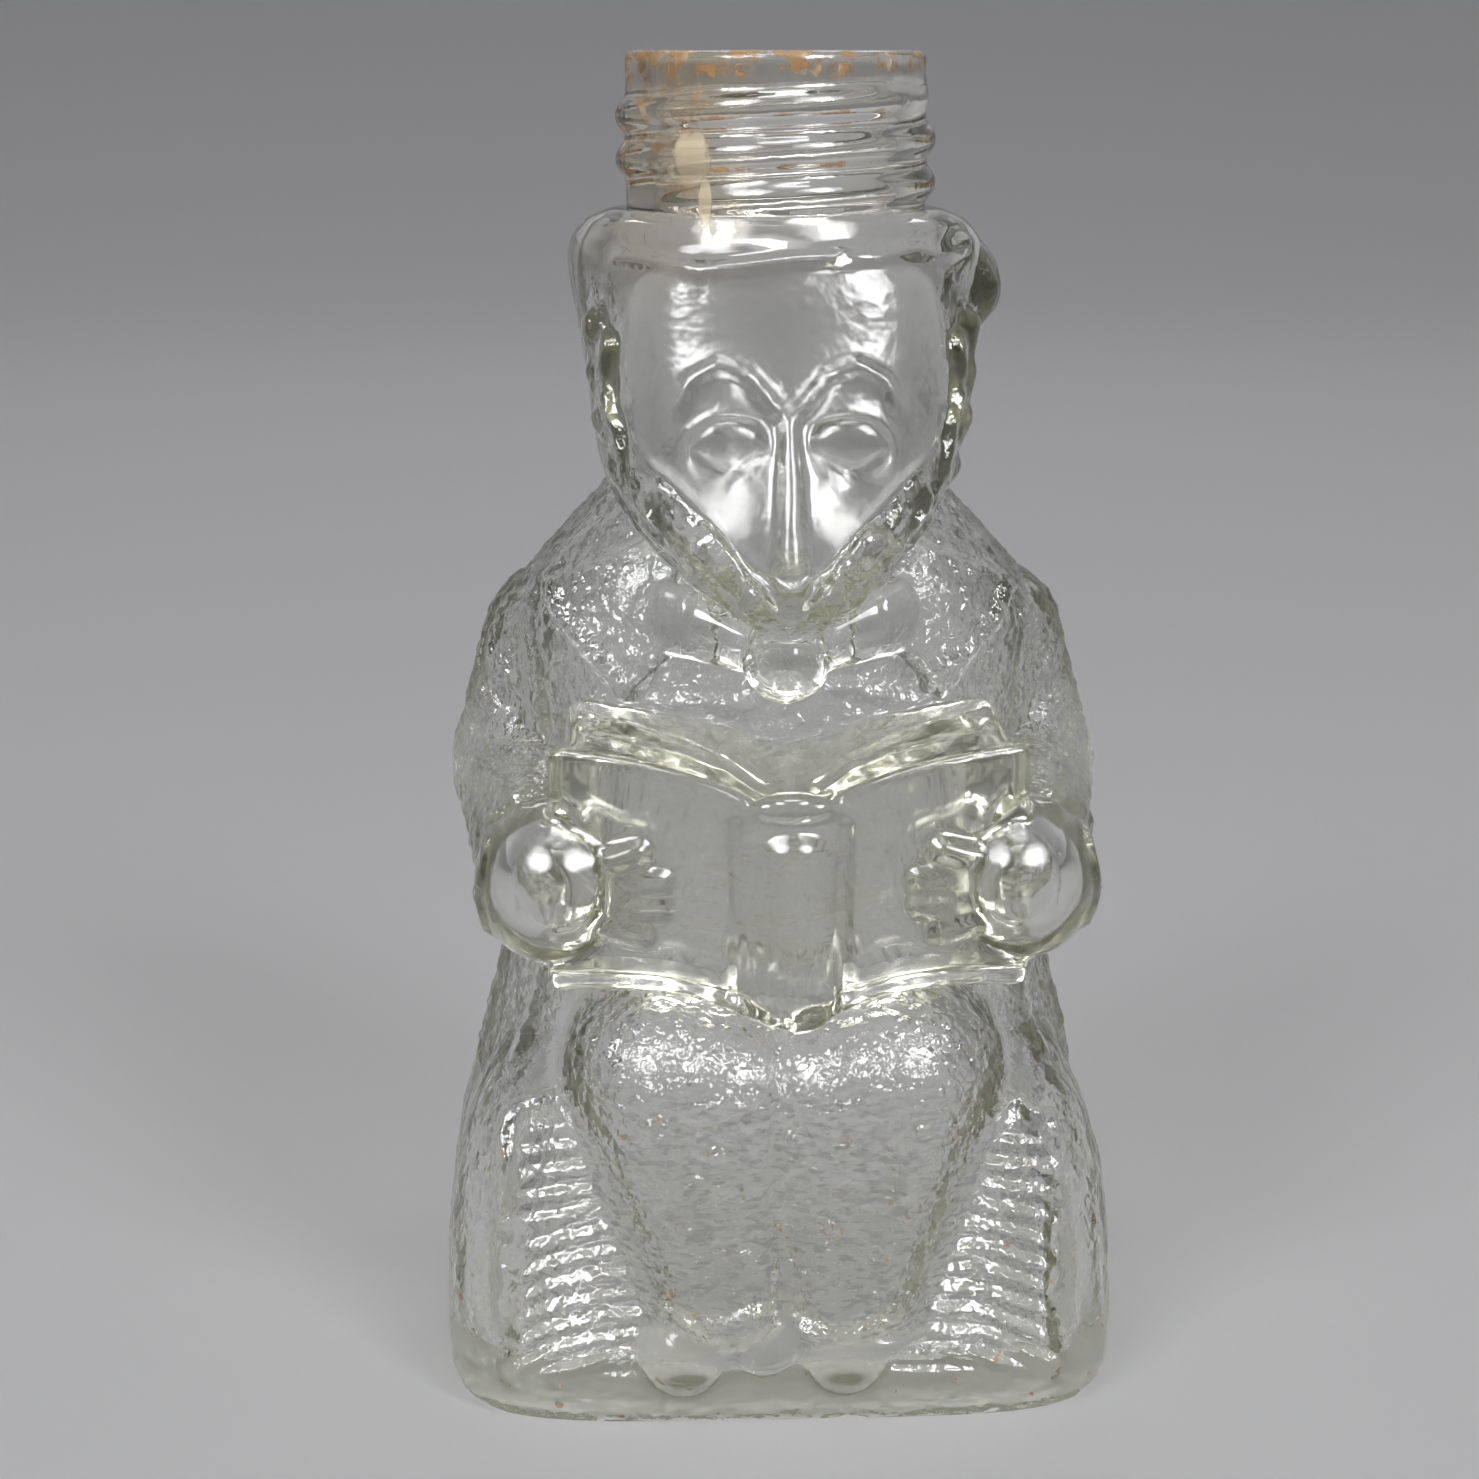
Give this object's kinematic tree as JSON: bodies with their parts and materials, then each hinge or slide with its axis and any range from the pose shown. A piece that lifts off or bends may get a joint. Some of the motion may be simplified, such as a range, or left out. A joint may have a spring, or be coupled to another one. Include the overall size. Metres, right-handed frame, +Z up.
{
  "type": "figural candy bottle",
  "caption": "Clear glass screw-neck candy bottle shaped as a seated animal in a coat and bow tie, reading an open book on a tree stump.",
  "frame": {"origin": "centre of the flat base, on the axis of the neck", "axes": "+Z up along the neck axis, -Y towards the viewer of the figure's face and book, +X to that viewer's right"},
  "size_m": [0.065, 0.0544, 0.127],
  "materials": {
    "clear_glass": "pressed clear glass with a faint warm grey tint in its thick places"
  },
  "bodies": {
    "root": {"glass_bottle": "clear_glass"}
  },
  "joints": []
}
